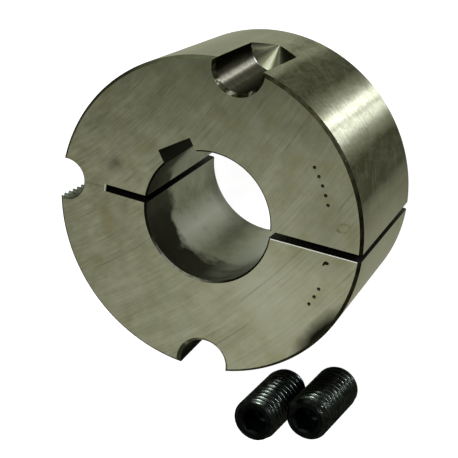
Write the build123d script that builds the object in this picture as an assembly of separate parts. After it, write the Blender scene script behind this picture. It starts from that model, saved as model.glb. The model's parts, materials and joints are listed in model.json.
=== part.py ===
from build123d import *
from math import asin, cos, degrees, radians, sin, tan
import os

# A split taper bush and its two grub screws, in millimetres.
# The bore axis is Z. The bush stands on its small end at z = 0, with its large face up.
# The full split points along +X. Angles are in degrees, counter-clockwise from the split,
# seen from above the large face. The screws stand beside the bush, sockets up.

# --- Bush body ---------------------------------------------------------------------------
LARGE_END_DIAMETER = 85.725       # at the large face, before the rim is chamfered
BUSH_LENGTH = 44.45
TAPER_PER_SIDE = 4.0              # degrees between the outside and the axis
BORE_DIAMETER = 35.0
LARGE_RIM_CHAMFER = 0.9
SMALL_RIM_CHAMFER = 0.5
BORE_EDGE_CHAMFER = 0.5

# --- Split, relief slot and keyway, all cut through the whole length -----------------------
SPLIT_WIDTH = 2.0
RELIEF_SLOT_WIDTH = 2.0
RELIEF_SLOT_ANGLE = 179.0         # as sawn, a degree short of opposite the split
WALL_BEHIND_RELIEF_SLOT = 13.6    # what the slot leaves whole, at the large face
KEYWAY_WIDTH = 10.0
KEYWAY_DEPTH = 3.3                # beyond the bore
KEYWAY_ANGLE = 123.5

# --- Grub screws ---------------------------------------------------------------------------
SCREW_DIAMETER = 12.7             # over the thread's crests
SCREW_LENGTH = 25.4
THREAD_PITCH = 25.4 / 12
SCREW_END_CHAMFER = 1.25
SOCKET_ACROSS_FLATS = 6.35
SOCKET_DEPTH = 7.6                # to the foot of the flats
SOCKET_MOUTH_MARGIN = 0.15        # countersink beyond the hexagon's corners

# --- Half-holes in the rim of the large face -------------------------------------------------
HOLE_CIRCLE_DIAMETER = 82.55
PUSH_HOLE_ANGLES = (85.0, -85.0)  # plain: a screw in the hub's thread presses on the shoulder
JACK_HOLE_ANGLE = 180.0           # tapped: a screw in it jacks the bush out of the hub
PUSH_HOLE_CLEARANCE = 0.15        # each side of the screw
PUSH_HOLE_DEPTH = 23.8
JACK_HOLE_DEPTH = 25.4
JACK_THREAD_HEIGHT = 0.52 * THREAD_PITCH
PUSH_HOLE_CHAMFER = 0.9
JACK_HOLE_CHAMFER = 0.5
DRILL_POINT_ANGLE = 118.0

# --- Where the two screws stand ---------------------------------------------------------------
SCREWS_REST_ANGLE = 288.9         # from the bore axis to midway between the screws
SCREW_TO_RIM_GAP = 15.7
SCREW_TO_SCREW_GAP = 2.9

# --- Sizes that follow ------------------------------------------------------------------------
LARGE_END_RADIUS = LARGE_END_DIAMETER / 2
BORE_RADIUS = BORE_DIAMETER / 2
SCREW_RADIUS = SCREW_DIAMETER / 2
HOLE_CIRCLE_RADIUS = HOLE_CIRCLE_DIAMETER / 2
PUSH_HOLE_RADIUS = SCREW_RADIUS + PUSH_HOLE_CLEARANCE
JACK_HOLE_RADIUS = SCREW_RADIUS - JACK_THREAD_HEIGHT
RELIEF_SLOT_REACH = LARGE_END_RADIUS - WALL_BEHIND_RELIEF_SLOT
CUT_MARGIN = 1.0                  # how far each cutter runs past the surface that it opens


def outside_radius(height):
    """Radius of the tapered outside at a height above the small end."""
    return LARGE_END_RADIUS - (BUSH_LENGTH - height) * tan(radians(TAPER_PER_SIDE))


def turned(points):
    """Revolve a closed outline of (radius, height) points about the Z axis."""
    outline = Polyline([(radius, 0, height) for radius, height in points], close=True)
    return revolve(make_face(outline), Axis.Z)


def bush_blank():
    """The turned body before any slot or hole: tapered outside, plain bore, broken edges."""
    return turned([
        (BORE_RADIUS + BORE_EDGE_CHAMFER, 0),
        (outside_radius(0) - SMALL_RIM_CHAMFER, 0),
        (outside_radius(SMALL_RIM_CHAMFER), SMALL_RIM_CHAMFER),
        (outside_radius(BUSH_LENGTH - LARGE_RIM_CHAMFER), BUSH_LENGTH - LARGE_RIM_CHAMFER),
        (LARGE_END_RADIUS - LARGE_RIM_CHAMFER, BUSH_LENGTH),
        (BORE_RADIUS + BORE_EDGE_CHAMFER, BUSH_LENGTH),
        (BORE_RADIUS, BUSH_LENGTH - BORE_EDGE_CHAMFER),
        (BORE_RADIUS, BORE_EDGE_CHAMFER),
    ])


def radial_slot(angle, width, reach):
    """Cutter for a straight slot from the bore axis out to a radius, through the length."""
    cutter = Box(
        reach,
        width,
        BUSH_LENGTH + 2 * CUT_MARGIN,
        align=(Align.MIN, Align.CENTER, Align.MIN),
    )
    return Rot(Z=angle) * Pos(Z=-CUT_MARGIN) * cutter


def half_hole(angle, radius, depth, chamfer):
    """Cutter for a blind drilled hole whose outer part runs out through the tapered side."""
    mouth_radius = radius + chamfer
    point_length = radius / tan(radians(DRILL_POINT_ANGLE / 2))
    drill = turned([
        (0, CUT_MARGIN),
        (mouth_radius, CUT_MARGIN),
        (mouth_radius, 0),
        (radius, -chamfer),
        (radius, -depth),
        (0, -depth - point_length),
    ])
    return Rot(Z=angle) * Pos(X=HOLE_CIRCLE_RADIUS, Z=BUSH_LENGTH) * drill


def bush():
    """The finished one-piece bush."""
    cutters = [
        radial_slot(0, SPLIT_WIDTH, LARGE_END_RADIUS + CUT_MARGIN),
        radial_slot(RELIEF_SLOT_ANGLE, RELIEF_SLOT_WIDTH, RELIEF_SLOT_REACH),
        radial_slot(KEYWAY_ANGLE, KEYWAY_WIDTH, BORE_RADIUS + KEYWAY_DEPTH),
        half_hole(JACK_HOLE_ANGLE, JACK_HOLE_RADIUS, JACK_HOLE_DEPTH, JACK_HOLE_CHAMFER),
    ]
    cutters += [
        half_hole(angle, PUSH_HOLE_RADIUS, PUSH_HOLE_DEPTH, PUSH_HOLE_CHAMFER)
        for angle in PUSH_HOLE_ANGLES
    ]
    body = bush_blank()
    for cutter in cutters:
        body -= cutter
    return body


def hex_socket():
    """Cutter for the key socket, measured down from z = 0: countersink, hexagon, drilled foot."""
    flat_radius = SOCKET_ACROSS_FLATS / 2
    corner_radius = flat_radius / cos(radians(30))
    mouth_radius = corner_radius + SOCKET_MOUTH_MARGIN
    point_length = flat_radius / tan(radians(DRILL_POINT_ANGLE / 2))
    hexagon = RegularPolygon(flat_radius, 6, major_radius=False)
    flats = Pos(Z=-SOCKET_DEPTH) * extrude(hexagon, SOCKET_DEPTH + CUT_MARGIN)
    countersink = turned([
        (0, CUT_MARGIN),
        (mouth_radius, CUT_MARGIN),
        (mouth_radius, 0),
        (0, -mouth_radius),
    ])
    drilled_foot = turned([
        (0, -SOCKET_DEPTH + flat_radius),
        (flat_radius, -SOCKET_DEPTH + flat_radius),
        (flat_radius, -SOCKET_DEPTH),
        (0, -SOCKET_DEPTH - point_length),
    ])
    return flats + countersink + drilled_foot


def grub_screw():
    """A screw standing on its point at z = 0, as long and as thick as over its thread."""
    end_radius = SCREW_RADIUS - SCREW_END_CHAMFER
    shank = turned([
        (0, 0),
        (end_radius, 0),
        (SCREW_RADIUS, SCREW_END_CHAMFER),
        (SCREW_RADIUS, SCREW_LENGTH - SCREW_END_CHAMFER),
        (end_radius, SCREW_LENGTH),
        (0, SCREW_LENGTH),
    ])
    return shank - Pos(Z=SCREW_LENGTH) * hex_socket()


def screw_places():
    """The two standing places: clear of the rim and of each other, on one circle."""
    rest_radius = LARGE_END_RADIUS + SCREW_TO_RIM_GAP + SCREW_RADIUS
    half_spacing = SCREW_RADIUS + SCREW_TO_SCREW_GAP / 2
    half_angle = degrees(asin(half_spacing / rest_radius))
    angles = (SCREWS_REST_ANGLE - half_angle, SCREWS_REST_ANGLE + half_angle)
    return [
        Pos(rest_radius * cos(radians(angle)), rest_radius * sin(radians(angle)))
        for angle in angles
    ]


os.makedirs("parts", exist_ok=True)
export_step(bush(), "parts/bush.step")
for name, place in zip(("grub_screw_1", "grub_screw_2"), screw_places()):
    screw = place * grub_screw()
    export_step(screw, f"parts/{name}.step")
    print(name, "stands at", [round(value, 2) for value in place.position])
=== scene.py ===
# %% [markdown]
# # A split taper bush and its two grub screws
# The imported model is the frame: real sizes in metres, bore axis on Z, the bush standing on its
# small end with its large face up. This notebook rebuilds the visible skins at those sizes, gives
# them machined finishes, and sets up the floor, the lamps and the camera.

# %% Load the frame
import json
from math import cos, pi, radians, sin, tan
import bmesh
import bpy
from mathutils import Matrix, Quaternion, Vector


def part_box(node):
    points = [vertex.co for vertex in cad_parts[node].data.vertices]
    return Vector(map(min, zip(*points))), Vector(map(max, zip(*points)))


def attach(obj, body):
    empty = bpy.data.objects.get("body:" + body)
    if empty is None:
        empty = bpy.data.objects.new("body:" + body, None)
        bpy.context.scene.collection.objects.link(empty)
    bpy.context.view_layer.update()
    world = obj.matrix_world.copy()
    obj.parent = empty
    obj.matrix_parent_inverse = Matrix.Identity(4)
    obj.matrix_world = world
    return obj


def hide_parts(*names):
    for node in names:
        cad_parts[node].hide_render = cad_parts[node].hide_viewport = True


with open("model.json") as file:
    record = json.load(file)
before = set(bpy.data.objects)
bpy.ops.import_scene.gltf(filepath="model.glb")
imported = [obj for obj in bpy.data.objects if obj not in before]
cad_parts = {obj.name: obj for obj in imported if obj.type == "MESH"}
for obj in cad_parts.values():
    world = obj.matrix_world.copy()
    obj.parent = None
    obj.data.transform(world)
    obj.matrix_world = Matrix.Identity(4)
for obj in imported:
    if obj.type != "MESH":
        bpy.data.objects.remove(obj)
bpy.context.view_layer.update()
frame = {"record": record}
mounts = {mount["name"]: mount for mount in frame["record"]["mounts"]}

# %% [markdown]
# ## Sizes
# What a stranger would measure comes from the record's mounts and the nodes' boxes. The few sizes
# that no mount states, such as the slots and the broken edges, are written here in millimetres,
# as the construction has them. A screw is as long as its box is high, and half as wide as it is
# long. Cutters overshoot by a margin, and a hair keeps two walls apart.

# %% Sizes
MM = 0.001
DRILL_POINT_ANGLE = 118.0
BORE_RADIUS = mounts["bore"]["dims"]["r_mm"] * MM
LARGE_RADIUS = mounts["taper_seat"]["dims"]["r_mm"] * MM
BUSH_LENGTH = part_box("bush")[1][2]
TAPER_PER_SIDE = 4.0
TAPER = tan(radians(TAPER_PER_SIDE))
RIM_CHAMFER = 0.9 * MM
FOOT_CHAMFER = 0.5 * MM
BORE_CHAMFER = 0.5 * MM
SLOT_WIDTH = 2.0 * MM
WALL_BEHIND_RELIEF = 13.6 * MM
RELIEF_REACH = LARGE_RADIUS - WALL_BEHIND_RELIEF
KEYWAY_WIDTH = 10.0 * MM
KEYWAY_FLOOR = BORE_RADIUS + 3.3 * MM
KEYWAY_ANGLE = radians(123.5)
RELIEF_ANGLE = radians(179.0)
PUSH_CHAMFER = 0.9 * MM
JACK_CHAMFER = 0.5 * MM
DRILL_POINT = tan(radians(DRILL_POINT_ANGLE / 2))
INCH = 25.4 * MM
THREAD_PITCH = INCH / 12
THREAD_HEIGHT = 0.64 * THREAD_PITCH
SCREW_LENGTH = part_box("grub_screw_1")[1][2]
SCREW_RADIUS = SCREW_LENGTH / 4
SCREW_CHAMFER = 1.25 * MM
SOCKET_FLAT = 6.35 * MM / 2
SOCKET_DEPTH = 7.6 * MM
SOCKET_MARGIN = 0.15 * MM
MARGIN = 1.0 * MM
HAIR = 0.01 * MM
print("bush", round(2 * LARGE_RADIUS / MM, 2), "mm across,", round(BUSH_LENGTH / MM, 2), "mm long")


# %% [markdown]
# ## Wires: arithmetic that builds nodes
# A shader or a geometry tree is easier to read as an expression. `Wire` wraps one output socket,
# and an operator on it adds the Math node that does the sum.

# %% Wires
class Wire:
    """An output socket in a tree, with arithmetic."""

    def __init__(self, tree, socket):
        self.tree = tree
        self.socket = socket

    def __add__(self, other):
        return calc("ADD", self, other)

    def __sub__(self, other):
        return calc("SUBTRACT", self, other)

    def __rsub__(self, other):
        return calc("SUBTRACT", other, self)

    def __mul__(self, other):
        return calc("MULTIPLY", self, other)

    def __truediv__(self, other):
        return calc("DIVIDE", self, other)

    __radd__ = __add__
    __rmul__ = __mul__


def connect(tree, socket, value):
    """Link a wire to an input socket, or set the socket to a plain value."""
    if isinstance(value, Wire):
        tree.links.new(value.socket, socket)
    else:
        socket.default_value = value


def node(tree, kind, settings=None, inputs=None, output=0):
    """Add a node: settings first, then its inputs by name, number or identifier."""
    made = tree.nodes.new(kind)
    for key, value in (settings or {}).items():
        setattr(made, key, value)
    for key, value in (inputs or {}).items():
        by_identifier = [s for s in made.inputs if s.identifier == key]
        connect(tree, by_identifier[0] if by_identifier else made.inputs[key], value)
    by_identifier = [s for s in made.outputs if s.identifier == output]
    return Wire(tree, by_identifier[0] if by_identifier else made.outputs[output])


def calc(operation, *values, clamp=False):
    """A Math node on wires and numbers."""
    tree = next(value.tree for value in values if isinstance(value, Wire))
    inputs = dict(enumerate(values))
    return node(tree, "ShaderNodeMath", {"operation": operation, "use_clamp": clamp}, inputs)


# %% [markdown]
# ## Machined metal
# Each face of the bush was left by a different tool: the side was turned, the face ground, the
# bore reamed, the slots sawn, the holes drilled. They are one metal with different marks, so a few
# helpers draw the marks, and each finish mixes its colours by them. Patterns read object
# coordinates, because the pieces sit at the origin at real size. Lengths are in millimetres and
# directions in degrees round the bore's axis, counted from the split.

# %% Material helpers
def position(tree):
    """The x, y and z of the surface point, in millimetres from the frame's origin."""
    point = node(tree, "ShaderNodeTexCoord", output="Object")
    split = tree.nodes.new("ShaderNodeSeparateXYZ")
    connect(tree, split.inputs[0], point)
    return [Wire(tree, split.outputs[i]) / MM for i in range(3)]


def grain(tree, x, y, z, detail=2.0, rough=0.5):
    """Noise from 0 to 1 at a point whose parts are already divided by the size of a grain."""
    point = node(tree, "ShaderNodeCombineXYZ", None, {0: x, 1: y, 2: z})
    settings = {"noise_dimensions": "3D"}
    return node(tree, "ShaderNodeTexNoise", settings, {
        "Vector": point, "Scale": 1.0, "Detail": detail, "Roughness": rough,
    })


def mottling(tree, point, across, up, detail=3.0, rough=0.5):
    """Noise whose grains have this width across the axis and this height along it."""
    x, y, z = point
    return grain(tree, x / across, y / across, z / up, detail, rough)


def flat_mottling(tree, x, y, size, seed, detail=3.0, rough=0.5):
    """Noise on a level face, with grains of one size. Another seed gives another draw."""
    return grain(tree, x / size, y / size, seed, detail, rough)


def spread(wire, low, high, new_low=0.0, new_high=1.0):
    """Stretch a range of a wire to a new range, and clamp it there."""
    return node(wire.tree, "ShaderNodeMapRange", {"clamp": True}, {
        "Value": wire, "From Min": low, "From Max": high, "To Min": new_low, "To Max": new_high,
    })


def highest(first, *others):
    """The largest of several wires, so that marks lie over each other without adding up."""
    for other in others:
        first = calc("MAXIMUM", first, other)
    return first


def near(wire, centre, half, soft):
    """1 where a wire is within half of a centre, 0 outside, with a soft step between."""
    off = calc("ABSOLUTE", wire - centre)
    return spread(off, half - soft, half + soft, 1.0, 0.0)


def bearing(x, y, degrees):
    """Degrees round the axis from a chosen direction, from -180 to 180."""
    along, side = cos(radians(degrees)), sin(radians(degrees))
    return calc("ARCTAN2", y * along - x * side, x * along + y * side) * (180 / pi)


def sector(x, y, degrees, half, soft):
    """1 within half of a direction round the axis, 0 outside, with a soft step between."""
    return near(bearing(x, y, degrees), 0.0, half, soft)


def spot(x, y, at, size, turn):
    """An oval blot of half sizes, turned: 1 in its middle, 0 from its edge outwards."""
    along, side = cos(radians(turn)), sin(radians(turn))
    dx, dy = x - at[0], y - at[1]
    u = (dx * along + dy * side) / size[0]
    v = (dy * along - dx * side) / size[1]
    return calc("SUBTRACT", 1.0, calc("SQRT", u * u + v * v), clamp=True)


def wobble(tree, wire, point, size, reach):
    """Shift a wire by noise, so that an edge drawn from it isn't a ruled line."""
    x, y, z = point
    return wire + (grain(tree, x / size, y / size, z / size, 3.0, 0.6) - 0.5) * (2 * reach)


def blend_colour(tree, factor, first, second):
    """Mix two colours, each a wire or an (r, g, b)."""
    ends = [c if isinstance(c, Wire) else (*c, 1.0) for c in (first, second)]
    return node(tree, "ShaderNodeMix", {"data_type": "RGBA"}, {
        "Factor_Float": factor, "A_Color": ends[0], "B_Color": ends[1],
    }, "Result_Color")


def surface(name, build, **constants):
    """A Principled material. build(tree) returns what varies, as socket names and wires."""
    material = bpy.data.materials.new(name)
    material.use_nodes = True
    tree = material.node_tree
    shader = next(n for n in tree.nodes if n.type == "BSDF_PRINCIPLED")
    for socket, value in constants.items():
        shader.inputs[socket.replace("_", " ")].default_value = value
    varying = build(tree)
    height = varying.pop("height", None)
    if height is not None:
        depth = varying.pop("depth")
        bump = node(tree, "ShaderNodeBump", None, {"Height": height, "Distance": depth})
        connect(tree, shader.inputs["Normal"], bump)
    for socket, value in varying.items():
        connect(tree, shader.inputs[socket], value)
    print("material", name, len(tree.nodes), "nodes")
    return material


# %% [markdown]
# ### The ground face: arcs and scratches
# The big grinding wheel leaves arcs that share one far centre. A straight or ringed pattern would
# miss that, so the noise is drawn in distance from the centre and distance round it.

# %% Arcs of the grinding wheel
WHEEL_CENTRE = (-115, 96)
WHEEL_RADIUS = 150
SCRATCH_RUN = 300
SCRATCH_GAP = 7


def wheel_arc(x, y):
    """Distance from the wheel's centre, and distance round it."""
    dx = x - WHEEL_CENTRE[0]
    dy = y - WHEEL_CENTRE[1]
    return calc("SQRT", dx * dx + dy * dy), calc("ARCTAN2", dy, dx) * WHEEL_RADIUS


def arc_grain(tree, arc, width, length, seed, detail=2.0):
    """Noise drawn out along the arcs."""
    across, along = arc
    return grain(tree, across / width, along / length, seed, detail)


def scratches(tree, arc, width, length, seed, share):
    """Separate lines along the arcs: fine bands of noise, broken into lengths by more noise."""
    lines = arc_grain(tree, arc, width, SCRATCH_RUN, seed, 0.0)
    broken = arc_grain(tree, arc, SCRATCH_GAP, length, seed + 5, 1.0)
    return spread(lines, share, share + 0.07) * spread(broken, 0.47, 0.6)


# %% [markdown]
# ### The ground face: oil and handling
# Iron that has been ground and then handled is a warm olive grey. Yellow oil has dried on it in
# patches and in one ring, and a dark reflection is painted by the rim. The saw raised a burr beside
# the split, and another at the end of the relief slot, and both carry a painted highlight. Each mark
# is a mask from 0 to 1.

# %% Marks on the ground face
# Each oval: the place of its middle, half its length and width, and its turn.
YELLOW_STAIN = ((-28, -8), (3, 7), 15)
YELLOW_RING = ((37, 6.9), (2.6, 1.6), 15)
SHEEN_PATCH = ((18, -16), (19, 13), -42)
HANDLED_PATCH = ((33, 6), (19, 15), 0)
REFLECTION_SMEAR = ((36.0, -23.7), (13.5, 5.4), 56)
SMUDGE = ((-27.4, 7.9), (3.6, 2.6), 60)
NICK = ((33.8, -3.5), (0.95, 0.62), 2)
NICK_TAIL = ((33.25, -3.85), (0.8, 0.42), 62)


def dried_oil(tree, x, y, uneven):
    """Yellow oil: thin patches everywhere, one stain and one uneven ring."""
    patches = spread(flat_mottling(tree, x, y, size=6, seed=21.0), 0.48, 0.68) * 0.3
    stain = spread(spot(x, y, *YELLOW_STAIN), 0, 0.6) * 0.45
    ring = near(spot(x, y, *YELLOW_RING), centre=0.3, half=0.16, soft=0.12)
    return highest(patches, stain, ring * spread(uneven, 0.38, 0.56))


def dirt_and_reflection(tree, x, y):
    """Dark marks: a painted dark reflection that reaches the rim, a smudge of black oil, and a nick
    with its tail.
    """
    wx = wobble(tree, x, (x, y, 4.0), size=3.5, reach=0.8)
    wy = wobble(tree, y, (x, y, 9.0), size=3.5, reach=0.8)
    smear = spread(spot(wx, wy, *REFLECTION_SMEAR), 0.0, 0.62)
    smudge = spread(spot(wx, wy, *SMUDGE), 0.0, 0.9) * 0.55
    nick = spread(spot(x, y, *NICK), 0.1, 0.35)
    tail = spread(spot(x, y, *NICK_TAIL), 0.1, 0.4)
    return highest(smear, smudge, nick, tail)


def burr_highlight(x, y):
    """A painted highlight on the burrs: one side of the split, and the end of the relief slot."""
    split = near(y, centre=-1.13, half=0.1, soft=0.05) * spread(x, 17.2, 18.0)
    slot_end = near(x, centre=-29.6, half=0.1, soft=0.06) * near(y, centre=0.55, half=1.0, soft=0.1)
    return highest(split, slot_end)


def saw_streak(x, y, fine):
    """A faint brown line that the saw left beyond the end of the relief slot."""
    line = near(y, centre=0.6, half=0.35, soft=0.25) * near(x, centre=-32.7, half=3.0, soft=0.6)
    return line * spread(fine, 0.4, 0.55) * 0.5


# %% [markdown]
# ### The ground face: putting it together
# The colours are laid one over the other: bare iron, painted shade towards one side, dried oil, a
# painted sheen, handling, scratches, black dirt with a painted dark reflection, the saw's streak, and
# last the burr's painted highlight, which nothing covers.

# %% Ground face
FACE_DARK = (0.196, 0.196, 0.122)
FACE_LIGHT = (0.31, 0.308, 0.214)
FACE_SHEEN = (0.42, 0.415, 0.32)
FACE_HANDLED = (0.08, 0.08, 0.048)
FACE_SHADE = (0.06, 0.068, 0.04)
OIL_YELLOW = (0.155, 0.14, 0.052)
DIRT_AND_REFLECTION_BLACK = (0.008, 0.009, 0.005)
SCRATCH_DARK = (0.06, 0.06, 0.036)
SCRATCH_CLEAN = (0.42, 0.42, 0.34)
STREAK_BROWN = (0.08, 0.065, 0.04)
BURR_HIGHLIGHT = (0.7, 0.7, 0.64)
SHADED_SIDE = radians(92)


def ground_face(tree):
    """Long shallow arcs from a big grinding wheel, under stains, scratches and painted light and
    shade.
    """
    x, y = position(tree)[:2]
    arc = wheel_arc(x, y)
    coarse = arc_grain(tree, arc, width=1.0, length=18, seed=3.0)
    fine = arc_grain(tree, arc, width=0.33, length=6, seed=7.0)
    patches = flat_mottling(tree, x, y, size=7, seed=1.0, detail=4.0, rough=0.62)
    uneven = fine * 0.5 + patches * 0.5
    tone = spread(coarse * 0.26 + fine * 0.24 + patches * 0.5, 0.37, 0.63)
    iron = blend_colour(tree, tone, FACE_DARK, FACE_LIGHT)
    # Painted shade: the face is darkened towards one side.
    painted_shade = spread(x * cos(SHADED_SIDE) + y * sin(SHADED_SIDE), 6, 40) * 0.7
    iron = blend_colour(tree, painted_shade, iron, FACE_SHADE)
    iron = blend_colour(tree, dried_oil(tree, x, y, uneven), iron, OIL_YELLOW)
    # Painted sheen: a lighter patch on one side of the face.
    painted_sheen = spread(spot(x, y, *SHEEN_PATCH), 0.0, 0.8) * 0.3
    iron = blend_colour(tree, painted_sheen, iron, FACE_SHEEN)
    iron = blend_colour(tree, spot(x, y, *HANDLED_PATCH) * 0.4, iron, FACE_HANDLED)
    deep = scratches(tree, arc, width=0.5, length=13, seed=31.0, share=0.66)
    iron = blend_colour(tree, deep * 0.22, iron, SCRATCH_DARK)
    clean = scratches(tree, arc, width=0.4, length=9, seed=51.0, share=0.64)
    iron = blend_colour(tree, clean * 0.13, iron, SCRATCH_CLEAN)
    # The smear by the rim is a painted dark reflection, the smudge is dirt and the nick a dent.
    dirt_and_reflection_mask = dirt_and_reflection(tree, x, y)
    iron = blend_colour(tree, dirt_and_reflection_mask, iron, DIRT_AND_REFLECTION_BLACK)
    iron = blend_colour(tree, saw_streak(x, y, fine), iron, STREAK_BROWN)
    # Painted highlight: a bright line along the burrs.
    iron = blend_colour(tree, burr_highlight(x, y), iron, BURR_HIGHLIGHT)
    return {
        "Base Color": iron,
        "Roughness": spread(uneven, 0.3, 0.7, 0.33, 0.43) + dirt_and_reflection_mask * 0.15,
        "height": fine * 0.6 + coarse * 0.4 - deep * 0.6,
        "depth": 0.012 * MM,
    }


FACE = surface("ground_face", ground_face, Metallic=1.0)


# %% [markdown]
# ### The turned side
# A lathe tool leaves close rings round the taper. Such rings spread a reflection up and down, so the
# shader is fully anisotropic, turned a quarter, and a narrow lamp shows as a stripe over the whole
# height. Soft upright dark bands run up the taper: beside and within the bright band they are painted
# dark reflections, and round the rest of the taper they are oil. Slanting rubs lie in them.

# %% Turned side
TURNED_DARK = (0.155, 0.157, 0.094)
TURNED_LIGHT = (0.236, 0.236, 0.158)
SIDE_BAND_COLOUR = (0.011, 0.0125, 0.003)
RUB_COLOUR = (0.2, 0.19, 0.08)
SIDE_TINT = (0.68, 0.68, 0.6, 1)
SIDE_RADIUS = 40
# Each band: its direction, half its width, its soft edge, and its strength. The first six are painted
# dark reflections beside and within the bright band, the last three oil.
REFLECTION_AND_OIL_BANDS = (
    (65.5, 11.5, 6.0, 0.94),
    (79, 8.0, 11.0, 0.95),
    (26, 12.0, 6.0, 0.97),
    (13, 6.0, 12.0, 0.7),
    (46.2, 0.5, 1.6, 0.4),
    (98, 3.0, 7.0, 0.3),
    (165, 14, 9, 0.45),
    (238, 18, 11, 0.5),
    (302, 12, 8, 0.4),
)


def side_bands(tree, point, mottle, patches):
    """The bands of painted dark reflection and of oil, with wandering edges, over thin patches."""
    x, y, z = point
    wander = (mottling(tree, point, across=5, up=30) - 0.5) * 7
    banding = spread(patches, 0.55, 0.75) * 0.3
    for direction, half, soft, strength in REFLECTION_AND_OIL_BANDS:
        banding = highest(banding, near(bearing(x, y, direction) + wander, 0.0, half, soft) * strength)
    uneven = mottling(tree, point, across=2.5, up=7, rough=0.6)
    return banding * spread(uneven * 0.5 + mottle * 0.5, 0.35, 0.65, 1.1, 0.86)


def slanting_rubs(tree, point):
    """Short lines that slant round the taper, three up for four round."""
    x, y, z = point
    around = calc("ARCTAN2", y, x) * SIDE_RADIUS
    across = z * 0.8 + around * 0.6
    along = z * 0.6 - around * 0.8
    return spread(grain(tree, across / 0.6, along / 16, 5.0, 1.0), 0.64, 0.74)


def turned_side(tree):
    """Fine rings from a lathe tool, under soft upright bands of painted dark reflection and of oil."""
    point = position(tree)
    rings = mottling(tree, point, across=22, up=0.28, detail=2.0)
    mottle = mottling(tree, point, across=1.1, up=1.1, rough=0.6)
    patches = mottling(tree, point, across=9, up=16, rough=0.6)
    tone = spread(rings * 0.4 + mottle * 0.3 + patches * 0.3, 0.38, 0.62)
    iron = blend_colour(tree, tone, TURNED_DARK, TURNED_LIGHT)
    # Painted dark reflections in upright bands beside the bright band, and oil bands round the rest.
    banding = side_bands(tree, point, mottle, patches)
    iron = blend_colour(tree, banding, iron, SIDE_BAND_COLOUR)
    iron = blend_colour(tree, slanting_rubs(tree, point) * banding * 0.4, iron, RUB_COLOUR)
    return {
        "Base Color": iron,
        "Roughness": spread(mottle * 0.7 + rings * 0.3, 0.35, 0.65, 0.28, 0.32),
    }


UPRIGHT_GLOSS = {"Metallic": 1.0, "Anisotropic": 1.0, "Anisotropic_Rotation": 0.25}
SIDE = surface("turned_side", turned_side, Specular_Tint=SIDE_TINT, **UPRIGHT_GLOSS)


# %% [markdown]
# ### The reamed bore
# The bore is ringed by the reamer. Painted shade makes it black from its mouth down to an uneven edge
# and cloudy in places below, and a painted highlight runs down one side.

# %% Reamed bore
BORE_DARK = (0.09, 0.1, 0.062)
BORE_LIGHT = (0.19, 0.2, 0.14)
BORE_HIGHLIGHT = (0.31, 0.325, 0.26)
BORE_COOL = (0.27, 0.305, 0.255)
BORE_SHADE = (0.0024, 0.0026, 0.0015)
OILED_TINT = (0.7, 0.7, 0.62, 1)
OILED_WALL = {"Metallic": 1.0, "Specular_Tint": OILED_TINT}


def shade_in_bore(tree, point, painted_sheen):
    """Painted shade: black down to an uneven edge, cloudy below it on one side, and thin at the foot.
    """
    x, y, z = point
    edge = wobble(tree, z, point, size=9, reach=9)
    mouth = spread(edge - painted_sheen * 3, 28.2, 31.8)
    cloudy = sector(x, y, 254, half=9, soft=8) * spread(edge, 24, 14) * 0.55
    foot = spread(edge, 9.0, 1.0) * 0.4
    thin = spread(mottling(tree, point, across=3, up=3), 0.3, 0.44, 0.95, 1.0)
    black = highest(mouth, cloudy, foot) * thin
    swirl = spread(grain(tree, edge / 5, y / 5, z / 4, 3.0, 0.7), 0.4, 0.6)
    shade_gap = sector(x, y, 300, half=24, soft=10) * spread(swirl, 0.0, 1.0, 0.5, 0.95)
    return black * (1 - shade_gap)


def reamed_bore(tree):
    """Rings up the bore, under painted shade near its mouth and a painted highlight down one side."""
    point = position(tree)
    x, y, z = point
    rings = mottling(tree, point, across=12, up=0.45, detail=2.0)
    cloud = mottling(tree, point, across=6, up=8, detail=4.0, rough=0.6)
    tone = spread(cloud * 0.8 + rings * 0.2, 0.36, 0.62)
    iron = blend_colour(tree, tone, BORE_DARK, BORE_LIGHT)
    # Painted highlight: a light stripe down one side of the bore.
    painted_sheen = sector(x, y, 227, half=11, soft=11) * spread(cloud, 0.15, 0.4)
    iron = blend_colour(tree, painted_sheen * 0.85, iron, BORE_HIGHLIGHT)
    cool = sector(x, y, 308, half=22, soft=16) * 0.75
    iron = blend_colour(tree, cool, iron, BORE_COOL)
    # Painted shade: black from the mouth down to an uneven edge.
    iron = blend_colour(tree, shade_in_bore(tree, point, painted_sheen), iron, BORE_SHADE)
    return {
        "Base Color": iron,
        "Roughness": spread(cloud, 0.3, 0.7, 0.3, 0.44),
        "height": rings,
        "depth": 0.008 * MM,
    }


BORE = surface("reamed_bore", reamed_bore, **OILED_WALL)


# %% [markdown]
# ### Sawn, broached and tapped walls
# The saw slots are narrow and hardly any light comes back out of them, so their walls are painted near
# black as painted shade. The keyway is wider and painted a little lighter, and the tapped half-hole
# lighter again. One function makes all three, and the punch marks too, from a dark and a light.

# %% Slots, keyway, tapped hole and punch marks
def cut_wall(dark, light):
    """How a wall looks with a cutter's marks across it, in dark colours of painted shade."""
    def build(tree):
        marks = mottling(tree, position(tree), across=2, up=0.4)
        return {
            "Base Color": blend_colour(tree, spread(marks, 0.3, 0.7), dark, light),
            "Roughness": spread(marks, 0.3, 0.7, 0.45, 0.6),
            "height": marks,
            "depth": 0.02 * MM,
        }
    return build


# Painted shade: the slots, keyway and tapped hole get dark colours for the shade inside them.
sawn = cut_wall(dark=(0.006, 0.0064, 0.005), light=(0.013, 0.014, 0.011))
broached = cut_wall(dark=(0.008, 0.009, 0.006), light=(0.018, 0.019, 0.013))
tapped = cut_wall(dark=(0.022, 0.027, 0.018), light=(0.06, 0.068, 0.046))
punched = cut_wall(dark=(0.012, 0.012, 0.007), light=(0.04, 0.04, 0.026))
SAWN = surface("sawn_wall", sawn, **OILED_WALL)
BROACHED = surface("broached_wall", broached, **OILED_WALL)
TAPPED = surface("tapped_wall", tapped, **OILED_WALL)
PUNCHED = surface("punch_mark", punched, **OILED_WALL)
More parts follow.
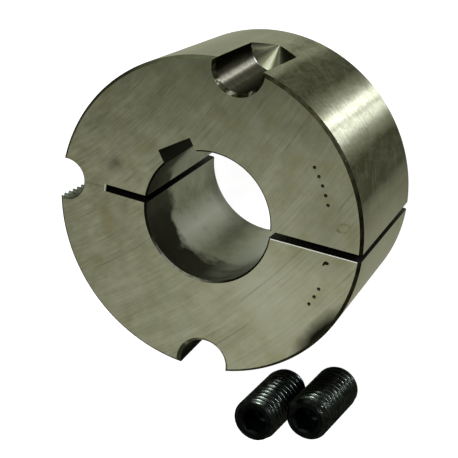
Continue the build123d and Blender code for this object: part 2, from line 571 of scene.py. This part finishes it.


# %% [markdown]
# ### The drilled half-holes
# The drill leaves rings, so these walls are anisotropic as the side is. Each wall carries a painted
# highlight down its middle and painted shade, near black, towards its edges, and the drill's point has
# wedges of painted highlight and painted shade. The two push holes mirror each other, so the pattern
# reads the size of y, not its sign.
# Only the lip differs: it is brown round one hole and olive round the other.

# %% Drilled walls
HOLE_PLACE = [abs(part) / MM for part in mounts["push_hole_1"]["pos_m"]]
SHOULDER = HOLE_PLACE[2] - mounts["push_hole_1"]["dims"]["length_mm"]
WALL_SHADE = (0.006, 0.006, 0.0034)
WALL_HIGHLIGHT = (0.074, 0.069, 0.046)
SHOULDER_HIGHLIGHT = (0.2, 0.2, 0.165)
POINT_DARK = (0.05, 0.05, 0.03)
POINT_LIGHT = (0.085, 0.084, 0.053)
WEDGE_SHADE = (0.014, 0.018, 0.008)
WEDGE_HIGHLIGHT = (0.058, 0.063, 0.05)
LIP_DARK = (0.005, 0.0055, 0.002)
LIP_BROWN = (0.016, 0.016, 0.007)
LIP_OLIVE = (0.055, 0.063, 0.034)
LIP_HIGHLIGHT = (0.22, 0.225, 0.15)


def hole_turn(point, degrees):
    """Degrees round a push hole's own axis from a chosen direction."""
    x, y, z = point
    return bearing(x - HOLE_PLACE[0], calc("ABSOLUTE", y) - HOLE_PLACE[1], degrees)


def drilled_wall(tree):
    """A painted highlight down the wall between sides of painted shade, and another where the point
    begins.
    """
    point = position(tree)
    turn = hole_turn(point, 226)
    marks = mottling(tree, point, across=8, up=0.5)
    mottle = mottling(tree, point, across=1.2, up=1.2, rough=0.6)
    ragged = turn + (marks - 0.5) * 18 + (mottle - 0.5) * 10
    stripe = near(ragged, centre=1.0, half=14, soft=15) * spread(mottle, 0.3, 0.7, 0.7, 1.0)
    ring = near(point[2], SHOULDER, half=0.35, soft=0.15) * near(turn, centre=2, half=11, soft=6)
    # Painted highlight down the middle of the wall, painted shade at its sides, and a painted
    # highlight at the shoulder.
    wall = blend_colour(tree, stripe, WALL_SHADE, WALL_HIGHLIGHT)
    wall = blend_colour(tree, ring, wall, SHOULDER_HIGHLIGHT)
    return {"Base Color": wall, "Roughness": spread(marks, 0.3, 0.7, 0.48, 0.54)}


def drill_point(tree):
    """The cone at the bottom of a hole, in wedges of painted highlight and painted shade."""
    point = position(tree)
    turn = hole_turn(point, 255)
    marks = grain(tree, turn / 9, point[2] / 9, 3.0)
    light = highest(near(turn, 0.0, half=5, soft=6), near(turn, 33, half=4, soft=6) * 0.4)
    dark = highest(near(turn, 17, half=7, soft=4), spread(turn, 38, 50))
    cone = blend_colour(tree, spread(marks, 0.3, 0.7), POINT_DARK, POINT_LIGHT)
    # Painted shade and painted highlight in wedges round the point.
    cone = blend_colour(tree, dark * 0.85, cone, WEDGE_SHADE)
    cone = blend_colour(tree, light * 0.9, cone, WEDGE_HIGHLIGHT)
    return {"Base Color": cone, "Roughness": spread(marks, 0.3, 0.7, 0.3, 0.4)}


def hole_lip(tree):
    """The bevel at the mouth: brown or olive, with painted highlights in three places."""
    point = position(tree)
    turn = hole_turn(point, 255)
    wear = mottling(tree, point, across=1.2, up=1.2)
    glints = highest(
        near(turn, 53, half=5, soft=5),
        near(turn, 4, half=6, soft=7) * 0.6,
        near(turn, -34, half=4, soft=4) * 0.7,
    )
    olive_side = spread(point[1], 0.0, -1.0) * 0.7
    lip = blend_colour(tree, spread(wear, 0.35, 0.65), LIP_DARK, LIP_BROWN)
    lip = blend_colour(tree, olive_side, lip, LIP_OLIVE)
    # Painted highlights in three places round the lip.
    lip = blend_colour(tree, glints * spread(wear, 0.35, 0.55), lip, LIP_HIGHLIGHT)
    return {"Base Color": lip, "Roughness": spread(wear, 0.3, 0.7, 0.4, 0.55)}


DRILLED = surface("drilled_wall", drilled_wall, Specular_Tint=OILED_TINT, **UPRIGHT_GLOSS)
POINT = surface("drill_point", drill_point, **OILED_WALL)
LIP = surface("hole_lip", hole_lip, **OILED_WALL)


# %% [markdown]
# ### Broken edges
# The bevel round the rim is brown-black, olive over the top and blacker by the split. The bevel at the
# bore's mouth is as dark, except for a painted highlight on one side.

# %% Rim and bore mouth
EDGE_DARK = (0.004, 0.0041, 0.0018)
EDGE_BROWN = (0.018, 0.0165, 0.0075)
EDGE_OLIVE = (0.1, 0.11, 0.06)
EDGE_BLACKER = (0.002, 0.002, 0.001)
EDGE_CHIPPED = (0.11, 0.1, 0.06)
MOUTH_DARK = (0.006, 0.006, 0.0035)
MOUTH_HIGHLIGHT = (0.085, 0.085, 0.06)


def broken_edge(tree):
    """A narrow machined bevel, brown-black, with an olive and a blacker stretch and small chips."""
    point = position(tree)
    x, y, z = point
    wear = mottling(tree, point, across=2.5, up=2.5, detail=4.0)
    chips = spread(flat_mottling(tree, x, y, size=0.8, seed=4.0, detail=1.0), 0.7, 0.8) * 0.25
    edge = blend_colour(tree, spread(wear, 0.35, 0.65), EDGE_DARK, EDGE_BROWN)
    edge = blend_colour(tree, sector(x, y, 106, half=16, soft=8) * 0.6, edge, EDGE_OLIVE)
    edge = blend_colour(tree, sector(x, y, 14, half=20, soft=12) * 0.6, edge, EDGE_BLACKER)
    edge = blend_colour(tree, chips, edge, EDGE_CHIPPED)
    return {"Base Color": edge, "Roughness": spread(wear, 0.3, 0.7, 0.5, 0.65)}


def bore_mouth(tree):
    """The bevel at the bore's mouth, with a painted highlight on one side."""
    point = position(tree)
    x, y, z = point
    wear = mottling(tree, point, across=2, up=2)
    # Painted highlight on one side of the bevel.
    glints = sector(x, y, 254, half=30, soft=12) * spread(wear, 0.3, 0.55, 0.5, 1.0)
    return {
        "Base Color": blend_colour(tree, glints, MOUTH_DARK, MOUTH_HIGHLIGHT),
        "Roughness": spread(wear, 0.3, 0.7, 0.4, 0.55),
    }


EDGE = surface("broken_edge", broken_edge, **OILED_WALL)
MOUTH = surface("bore_mouth", bore_mouth, **OILED_WALL)


# %% [markdown]
# ### Black oxide
# The screws are blackened and oiled: nearly no colour of their own, so what shows is the gloss
# along the crests of the thread. In the socket and on its flat rim the skin is duller.

# %% Finishes of the screws
def black_oxide(dull, dark, light):
    """A black skin with slightly duller patches."""
    def build(tree):
        patches = mottling(tree, position(tree), across=1.6, up=1.6, detail=1.0)
        return {
            "Base Color": blend_colour(tree, spread(patches, 0.3, 0.7), dark, light),
            "Roughness": spread(patches, 0.3, 0.7, dull, dull + 0.1),
            "height": patches,
            "depth": 0.002 * MM,
        }
    return build


BLACK_SKIN = {"Metallic": 1.0, "Specular_Tint": (0.3, 0.32, 0.3, 1)}
glossy_skin = black_oxide(0.17, dark=(0.011, 0.013, 0.0105), light=(0.024, 0.0275, 0.023))
dull_skin = black_oxide(0.5, dark=(0.002, 0.0026, 0.0024), light=(0.005, 0.006, 0.0052))
BLACK = surface("black_oxide", glossy_skin, **BLACK_SKIN)
SOCKET = surface("socket_black", dull_skin, **BLACK_SKIN)


# %% [markdown]
# ## Turned shapes
# A lathe is one function: an outline of radius and height, turned about the axis. Each stretch of
# the outline can carry its own finish. Saw cuts and the keyway need only a box. What is cut away
# is a Boolean difference, and its walls keep the finish of the cutter, as real walls keep the
# marks of their tool.

# %% Lathe
BUSH_SIDES = 288
DRILL_SIDES = 96


def place_in_scene(name, mesh):
    """A new object with a mesh, linked to the scene."""
    made = bpy.data.objects.new(name, mesh)
    bpy.context.scene.collection.objects.link(made)
    return made


def lathe(name, outline, finishes, sides):
    """Turn a closed outline of (radius, height). finishes has one material for each stretch."""
    shape = bmesh.new()
    materials = list(dict.fromkeys(finishes))
    rings = []
    for radius, height in outline:
        turns = sides if radius > 0 else 1
        steps = [2 * pi * i / sides for i in range(turns)]
        rings.append([shape.verts.new((radius * cos(a), radius * sin(a), height)) for a in steps])
    for index, finish in enumerate(finishes):
        low, high = rings[index], rings[(index + 1) % len(rings)]
        if len(low) == 1 and len(high) == 1:
            continue
        for i in range(sides):
            j = (i + 1) % sides
            corners = [low[i % len(low)], low[j % len(low)], high[j % len(high)], high[i % len(high)]]
            face = shape.faces.new(list(dict.fromkeys(corners)))
            face.material_index = materials.index(finish)
    bmesh.ops.recalc_face_normals(shape, faces=shape.faces)
    mesh = bpy.data.meshes.new(name)
    shape.to_mesh(mesh)
    shape.free()
    for material in materials:
        mesh.materials.append(material)
    return place_in_scene(name, mesh)


# %% Cutting
def block(name, low, high, angle, finish):
    """A box between two corners, turned about Z."""
    shape = bmesh.new()
    bmesh.ops.create_cube(shape, size=1.0)
    for vertex in shape.verts:
        flat = [low[i] + (vertex.co[i] + 0.5) * (high[i] - low[i]) for i in range(3)]
        vertex.co = (
            flat[0] * cos(angle) - flat[1] * sin(angle),
            flat[0] * sin(angle) + flat[1] * cos(angle),
            flat[2],
        )
    mesh = bpy.data.meshes.new(name)
    shape.to_mesh(mesh)
    shape.free()
    mesh.materials.append(finish)
    return place_in_scene(name, mesh)


def keep_used_finishes(mesh):
    """Leave one slot for each finish that a face wears, and no empty slots."""
    worn = [mesh.materials[polygon.material_index] for polygon in mesh.polygons]
    kept = list(dict.fromkeys(worn))
    mesh.materials.clear()
    for finish in kept:
        mesh.materials.append(finish)
    for polygon, finish in zip(mesh.polygons, worn):
        polygon.material_index = kept.index(finish)


def bake_modifiers(piece, name):
    """Replace a piece by the plain mesh that its modifiers make."""
    bpy.context.view_layer.update()
    result = piece.evaluated_get(bpy.context.evaluated_depsgraph_get())
    mesh = bpy.data.meshes.new_from_object(result)
    mesh.name = name
    piece.modifiers.clear()
    piece.data = mesh
    keep_used_finishes(mesh)


def cut(piece, cutters, name):
    """Subtract the cutters from a piece; the cut walls keep the cutters' finishes."""
    for cutter in cutters:
        step = piece.modifiers.new(cutter.name, "BOOLEAN")
        step.operation = "DIFFERENCE"
        step.solver = "EXACT"
        step.material_mode = "TRANSFER"
        step.object = cutter
    bake_modifiers(piece, name)
    for cutter in cutters:
        bpy.data.objects.remove(cutter)
    print(name, len(piece.data.polygons), "faces after", len(cutters), "cuts")
    return piece


SHARP_ANGLE = 30


def shade(piece):
    """Smooth shading that breaks at real edges."""
    for polygon in piece.data.polygons:
        polygon.use_smooth = True
    piece.data.set_sharp_from_angle(angle=radians(SHARP_ANGLE))


# %% [markdown]
# ## The thread
# The screws and the tapped half-hole share one thread form: 12 turns to the inch, with round
# crests and roots and 55 degree flanks, which a cosine wave follows closely. Geometry Nodes wrap a
# flat grid round the axis and push each point out by the wave. The same tree makes the screw and,
# with a thicker core, the tap that cuts the half-hole.

# %% Threaded rod tree
WELD = 0.002 * MM
ROD_SIZES = (
    "Length", "Crest Radius", "Thread Height", "Core Radius", "Pitch", "End Chamfer", "Start",
)


def finish_tree(tree, geometry, finish):
    """End a tree: real faces instead of instances, and their material."""
    real = node(tree, "GeometryNodeRealizeInstances", None, {"Geometry": geometry})
    finished = node(tree, "GeometryNodeSetMaterial", None, {"Geometry": real, "Material": finish})
    out = tree.nodes.new("NodeGroupOutput")
    connect(tree, out.inputs[0], finished)


def thread_tree():
    """Geometry Nodes: a closed rod with a helical thread and chamfered ends."""
    tree = bpy.data.node_groups.new("threaded_rod", "GeometryNodeTree")
    tree.interface.new_socket("Mesh", in_out="OUTPUT", socket_type="NodeSocketGeometry")
    for name in ROD_SIZES:
        tree.interface.new_socket(name, in_out="INPUT", socket_type="NodeSocketFloat")
    for name in ("Around", "Rows"):
        tree.interface.new_socket(name, in_out="INPUT", socket_type="NodeSocketInt")
    tree.interface.new_socket("Finish", in_out="INPUT", socket_type="NodeSocketMaterial")
    given = tree.nodes.new("NodeGroupInput")
    value = {s.name: Wire(tree, s) for s in given.outputs if s.name}
    grid = node(tree, "GeometryNodeMeshGrid", None, {
        "Size X": 1.0, "Size Y": 1.0,
        "Vertices X": value["Around"] + 1, "Vertices Y": value["Rows"] + 3,
    })
    flat = tree.nodes.new("ShaderNodeSeparateXYZ")
    connect(tree, flat.inputs[0], node(tree, "GeometryNodeInputPosition"))
    turn = Wire(tree, flat.outputs[0]) + 0.5
    row = calc("ROUND", (Wire(tree, flat.outputs[1]) + 0.5) * (value["Rows"] + 2))
    rise = calc("DIVIDE", row - 1, value["Rows"], clamp=True) * value["Length"]
    wave = calc("COSINE", (rise / value["Pitch"] - turn + value["Start"]) * (2 * pi)) * 0.5 - 0.5
    thread = value["Crest Radius"] + wave * value["Thread Height"]
    thread = highest(thread, value["Core Radius"])
    to_end = calc("MINIMUM", rise, value["Length"] - rise)
    radius = calc("MINIMUM", thread, value["Crest Radius"] - value["End Chamfer"] + to_end)
    inside = calc("GREATER_THAN", row, 0.5) * calc("LESS_THAN", row, value["Rows"] + 1.5)
    placed = node(tree, "ShaderNodeCombineXYZ", None, {
        0: calc("COSINE", turn * (2 * pi)) * radius * inside,
        1: calc("SINE", turn * (2 * pi)) * radius * inside,
        2: rise,
    })
    wrapped = node(tree, "GeometryNodeSetPosition", None, {"Geometry": grid, "Position": placed})
    closed = node(tree, "GeometryNodeMergeByDistance", None, {
        "Geometry": wrapped, "Distance": WELD,
    })
    finish_tree(tree, closed, value["Finish"])
    return tree


THREAD = thread_tree()
print("tree", THREAD.name, len(THREAD.nodes), "nodes")


# %% [markdown]
# A tree makes nothing until a modifier runs it on an object. Its inputs are set by the socket's
# identifier, and the plain mesh that comes out is kept in place of the modifier.

# %% Rods from the tree
def run_tree(name, tree, inputs):
    """Give a new object a tree with these named inputs, and keep the plain mesh that it makes."""
    made = place_in_scene(name, bpy.data.meshes.new(name))
    step = made.modifiers.new(name, "NODES")
    step.node_group = tree
    for item in tree.interface.items_tree:
        if item.in_out == "INPUT":
            step[item.identifier] = inputs[item.name]
    bake_modifiers(made, name)
    print(name, len(made.data.polygons), "faces from", tree.name)
    return made


def threaded_rod(name, at, finish, **sizes):
    """A rod with a thread, as a plain mesh standing at a point."""
    inputs = {key.replace("_", " "): value for key, value in sizes.items()}
    made = run_tree(name, THREAD, {**inputs, "Finish": finish})
    shape = bmesh.new()
    shape.from_mesh(made.data)
    bmesh.ops.translate(shape, verts=shape.verts, vec=at)
    bmesh.ops.recalc_face_normals(shape, faces=shape.faces)
    shape.to_mesh(made.data)
    shape.free()
    return made


# %% [markdown]
# ## Punch marks
# The face carries two rows of plain punch marks where such a bush is stamped, and nothing that
# can be read. A row repeats one dimple along an arc, so Geometry Nodes place copies of a small
# cone on points, and the row is then cut out of the face like the holes. The cone goes as far
# above the face as below it, so its top radius is twice the dot's.

# %% Punch row tree
DOT_SIDES = 20
DOT_TIP_SHARE = 0.15


def punch_tree():
    """Geometry Nodes: a row of small cones, point down, along an arc about the axis."""
    tree = bpy.data.node_groups.new("punch_row", "GeometryNodeTree")
    tree.interface.new_socket("Mesh", in_out="OUTPUT", socket_type="NodeSocketGeometry")
    tree.interface.new_socket("Count", in_out="INPUT", socket_type="NodeSocketInt")
    for name in ("Arc Radius", "From", "Step", "Dot Radius", "Depth", "Height"):
        tree.interface.new_socket(name, in_out="INPUT", socket_type="NodeSocketFloat")
    tree.interface.new_socket("Finish", in_out="INPUT", socket_type="NodeSocketMaterial")
    given = tree.nodes.new("NodeGroupInput")
    value = {s.name: Wire(tree, s) for s in given.outputs if s.name}
    index = node(tree, "GeometryNodeInputIndex")
    turn = value["From"] + index * value["Step"]
    place = node(tree, "ShaderNodeCombineXYZ", None, {
        0: calc("COSINE", turn) * value["Arc Radius"],
        1: calc("SINE", turn) * value["Arc Radius"],
        2: value["Height"] - value["Depth"],
    })
    points = node(tree, "GeometryNodePoints", None, {"Count": value["Count"], "Position": place})
    cone = node(tree, "GeometryNodeMeshCone", None, {
        "Vertices": DOT_SIDES, "Radius Top": value["Dot Radius"] * 2,
        "Radius Bottom": value["Dot Radius"] * DOT_TIP_SHARE, "Depth": value["Depth"] * 2,
    })
    dots = node(tree, "GeometryNodeInstanceOnPoints", None, {"Points": points, "Instance": cone})
    finish_tree(tree, dots, value["Finish"])
    return tree


PUNCH = punch_tree()
print("tree", PUNCH.name, len(PUNCH.nodes), "nodes")

# %% Punch rows
DOT_RADIUS = 0.46 * MM
DOT_DEPTH = 0.38 * MM


def punch_row(name, count, arc_radius, first, step):
    """A row of punch cones in the large face, as one cutter. Millimetres and degrees."""
    return run_tree(name, PUNCH, {
        "Count": count, "Arc Radius": arc_radius * MM, "From": radians(first),
        "Step": radians(step), "Dot Radius": DOT_RADIUS, "Depth": DOT_DEPTH,
        "Height": BUSH_LENGTH, "Finish": PUNCHED,
    })


# %% [markdown]
# ## The bush
# It starts as the turned blank and is cut as the real one is: sawn through on one side, slotted
# part way on the other, broached for the key, and drilled three times on the rim. One of the
# three holes is tapped. The drills stand on a circle inside the rim, so each hole breaks out
# through the taper and becomes a half-hole.

# %% Turned blank
def taper_radius(height):
    """Radius of the outside at a height above the small end."""
    return LARGE_RADIUS - (BUSH_LENGTH - height) * TAPER


blank = lathe("bush_skin", [
    (BORE_RADIUS + BORE_CHAMFER, 0),
    (taper_radius(0) - FOOT_CHAMFER, 0),
    (taper_radius(FOOT_CHAMFER), FOOT_CHAMFER),
    (taper_radius(BUSH_LENGTH - RIM_CHAMFER), BUSH_LENGTH - RIM_CHAMFER),
    (LARGE_RADIUS - RIM_CHAMFER, BUSH_LENGTH),
    (BORE_RADIUS + BORE_CHAMFER, BUSH_LENGTH),
    (BORE_RADIUS, BUSH_LENGTH - BORE_CHAMFER),
    (BORE_RADIUS, BORE_CHAMFER),
], [FACE, EDGE, SIDE, EDGE, FACE, MOUTH, BORE, MOUTH], BUSH_SIDES)


# %% Drill and cutters
def drill(name, mount, chamfer, wall, point, lip):
    """The cutter of a blind half-hole, at the place and size that its mount states."""
    centre = Vector(mount["pos_m"])
    radius = mount["dims"]["r_mm"] * MM
    depth = mount["dims"]["length_mm"] * MM
    mouth = radius + chamfer
    made = lathe(name, [
        (0, MARGIN), (mouth, MARGIN), (mouth, 0), (radius, -chamfer),
        (radius, -depth), (0, -depth - radius / DRILL_POINT),
    ], [lip, lip, lip, wall, point, wall], DRILL_SIDES)
    made.data.transform(Matrix.Translation(centre))
    return made


TAP_LENGTH = 10 * THREAD_PITCH
TAP_END_CHAMFER = 1.1 * MM
top = BUSH_LENGTH + MARGIN
half_slot = SLOT_WIDTH / 2
half_key = KEYWAY_WIDTH / 2
jack = mounts["jack_hole"]
tap_place = Vector(jack["pos_m"]) - Vector((0, 0, TAP_LENGTH))
cutters = [
    block("split", (0, -half_slot, -MARGIN), (LARGE_RADIUS + MARGIN, half_slot, top), 0, SAWN),
    block("relief_slot", (0, -half_slot, -MARGIN), (RELIEF_REACH, half_slot, top), RELIEF_ANGLE, SAWN),
    block("keyway", (0, -half_key, -MARGIN), (KEYWAY_FLOOR, half_key, top), KEYWAY_ANGLE, BROACHED),
    drill("push_drill_1", mounts["push_hole_1"], PUSH_CHAMFER, DRILLED, POINT, LIP),
    drill("push_drill_2", mounts["push_hole_2"], PUSH_CHAMFER, DRILLED, POINT, LIP),
    drill("jack_drill", jack, JACK_CHAMFER, TAPPED, TAPPED, TAPPED),
    threaded_rod(
        "tap", tap_place, TAPPED, Length=TAP_LENGTH + THREAD_PITCH, Crest_Radius=SCREW_RADIUS,
        Thread_Height=THREAD_HEIGHT, Core_Radius=jack["dims"]["r_mm"] * MM - HAIR,
        Pitch=THREAD_PITCH, End_Chamfer=TAP_END_CHAMFER, Start=0.5, Around=72, Rows=176,
    ),
    punch_row("punch_row_1", count=5, arc_radius=34.2, first=37.5, step=-4.3),
    punch_row("punch_row_2", count=3, arc_radius=34.6, first=-18.5, step=-4.3),
]

# %% Bush
bush = cut(blank, cutters, "bush_skin")
shade(bush)
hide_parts("bush")
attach(bush, "root")


# %% [markdown]
# ## The grub screws
# Each is a length of the threaded rod with a hexagon socket. The socket is a cutter in three
# parts, as the tools leave it: a countersink, the flats and a drilled foot. The rod has many rows,
# because a coarse thread would break up the row of highlights on its crests.

# %% Socket
SOCKET_SIDES = 48
HEXAGON = 6
FOOT_SHARE = 0.99


def socket_cutters():
    """The three tools of a socket, with the screw's upper end at height 0."""
    corner = SOCKET_FLAT / cos(pi / HEXAGON)
    mouth = corner + SOCKET_MARGIN
    foot = SOCKET_FLAT * FOOT_SHARE
    countersink = [(0, MARGIN), (mouth, MARGIN), (mouth, 0), (0, -mouth)]
    flats = [(0, MARGIN), (corner, MARGIN), (corner, -SOCKET_DEPTH), (0, -SOCKET_DEPTH)]
    drilled = [
        (0, -SOCKET_DEPTH / 2), (foot, -SOCKET_DEPTH / 2),
        (foot, -SOCKET_DEPTH), (0, -SOCKET_DEPTH - SOCKET_FLAT / DRILL_POINT),
    ]
    return [
        lathe("countersink", countersink, [SOCKET] * 4, SOCKET_SIDES),
        lathe("flats", flats, [SOCKET] * 4, HEXAGON),
        lathe("foot", drilled, [SOCKET] * 4, SOCKET_SIDES),
    ]


# %% Grub screws
def grub_screw(name, cad_node, start):
    """A threaded rod that fills the node's box, with its socket cut in the upper end."""
    low, high = (Vector(corner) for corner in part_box(cad_node))
    foot = Vector(((low.x + high.x) / 2, (low.y + high.y) / 2, low.z))
    length = high.z - low.z
    radius = (high.x - low.x) / 2
    rod = threaded_rod(
        name, foot, BLACK, Length=length, Crest_Radius=radius, Thread_Height=THREAD_HEIGHT,
        Core_Radius=0.0, Pitch=THREAD_PITCH, End_Chamfer=SCREW_CHAMFER, Start=start,
        Around=120, Rows=480,
    )
    tools = socket_cutters()
    for tool in tools:
        tool.data.transform(Matrix.Translation(foot + Vector((0, 0, length))))
    screw = cut(rod, tools, name)
    dull = list(screw.data.materials).index(SOCKET)
    for polygon in screw.data.polygons:
        if polygon.center.z > length - HAIR:
            polygon.material_index = dull
    shade(screw)
    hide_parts(cad_node)
    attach(screw, "root")


grub_screw("screw_skin_1", "grub_screw_1", start=0.1)
grub_screw("screw_skin_2", "grub_screw_2", start=0.6)

# %% [markdown]
# ## Floor and surroundings
# A white floor under a pale sky. The floor adds a little of its own white for the camera and for
# reflections, and keeps the shadow. Its diffuse colour is darker, so it throws little light back
# up at the metal.

# %% Floor
FLOOR_REACH = 4.0
FLOOR_OWN_WHITE = 0.95
FLOOR_COLOUR = 0.22
floor_mesh = bpy.data.meshes.new("floor")
signs = [(-1, -1), (1, -1), (1, 1), (-1, 1)]
corners = [(FLOOR_REACH * across, FLOOR_REACH * along, 0) for across, along in signs]
floor_mesh.from_pydata(corners, [], [(0, 1, 2, 3)])
floor = place_in_scene("floor", floor_mesh)
paper = bpy.data.materials.new("white_floor")
paper.use_nodes = True
tree = paper.node_tree
tree.nodes.clear()
ray = tree.nodes.new("ShaderNodeLightPath")
kinds = ("Is Camera Ray", "Is Glossy Ray", "Is Transmission Ray")
seen = highest(*[Wire(tree, ray.outputs[kind]) for kind in kinds])
matt = node(tree, "ShaderNodeBsdfDiffuse", None, {"Color": (*[FLOOR_COLOUR] * 3, 1)})
glow = node(tree, "ShaderNodeEmission", None, {"Strength": seen * FLOOR_OWN_WHITE})
both = node(tree, "ShaderNodeAddShader", None, {0: matt, 1: glow})
out = tree.nodes.new("ShaderNodeOutputMaterial")
connect(tree, out.inputs["Surface"], both)
floor_mesh.materials.append(paper)
print("floor", 2 * FLOOR_REACH, "m across")

# %% World
WORLD_COLOUR = (1, 0.99, 0.86, 1)
WORLD_STRENGTH = 0.34
world = bpy.data.worlds.new("studio")
bpy.context.scene.world = world
world.use_nodes = True
background = next(n for n in world.node_tree.nodes if n.type == "BACKGROUND")
background.inputs["Color"].default_value = WORLD_COLOUR
background.inputs["Strength"].default_value = WORLD_STRENGTH
print("world strength", WORLD_STRENGTH)


# %% [markdown]
# ## Lamps
# Two narrow strips give the turned side its bright upright band. They stand low, because the level
# ground face would mirror a taller strip to a viewer on the far side. The lamp on the left picks
# out the crests of the screws' threads, a faint one on the right lights the side by the split, and
# a very faint one behind gives the ground face its sheen.

# %% Lamps
def outwards(azimuth, elevation):
    """The unit vector that points to a direction, both angles in radians."""
    level = cos(elevation)
    return Vector((level * cos(azimuth), level * sin(azimuth), sin(elevation)))


def lamp(name, azimuth, elevation, distance, size, power, colour):
    """A soft lamp aimed at the bush: degrees, metres, (width, height) in metres, watts."""
    light = bpy.data.lights.new(name, "AREA")
    light.shape = "RECTANGLE"
    light.size, light.size_y = size
    light.energy = power
    light.color = colour
    made = place_in_scene(name, light)
    out = outwards(radians(azimuth), radians(elevation))
    made.location = Vector((0, 0, BUSH_LENGTH / 2)) + out * distance
    made.rotation_euler = out.to_track_quat("Z", "Y").to_euler()
    print(name, [round(v, 3) for v in made.location])


DAYLIGHT = (0.76, 0.79, 1.0)
COOL = (0.93, 0.96, 1.0)
STRIP = (0.01, 0.1)
lamp("band_strip_bright", 49.4, 2, 0.8, STRIP, 12.0, DAYLIGHT)
lamp("band_strip_faint", 40.1, 2, 0.8, STRIP, 7.6, DAYLIGHT)
lamp("left_lamp", 106, 56, 0.8, (0.15, 0.08), 10.5, COOL)
lamp("right_lamp", 14, 55, 0.8, (0.05, 0.05), 1.0, COOL)
lamp("sheen_lamp", 242.5, 60.5, 0.7, (0.1, 0.1), 0.225, COOL)

# %% [markdown]
# ## Camera
# A long lens, high and close in, rolled to one side: the bush looks as if it lay on its edge with
# the screws below it, though all three stand on the floor.

# %% Camera
AIM = Vector((6.5 * MM, -1.5 * MM, BUSH_LENGTH))
VIEW_AZIMUTH = radians(48.41)
VIEW_ELEVATION = radians(59.87)
VIEW_ROLL = radians(-127.08)
VIEW_DISTANCE = 522.3 * MM
FOCAL_LENGTH = 159.7
FILM_WIDTH = 36.0
NEAREST = 0.01
lens = bpy.data.cameras.new("camera")
lens.sensor_width = FILM_WIDTH
lens.lens = FOCAL_LENGTH
lens.clip_start = NEAREST
camera = place_in_scene("camera", lens)
toward = outwards(VIEW_AZIMUTH, VIEW_ELEVATION)
camera.location = AIM + toward * VIEW_DISTANCE
upright = toward.to_track_quat("Z", "Y")
camera.rotation_euler = (upright @ Quaternion((0, 0, 1), VIEW_ROLL)).to_euler()
bpy.context.scene.camera = camera
bpy.context.scene.view_settings.view_transform = "Standard"
print("camera", [round(v, 3) for v in camera.location])
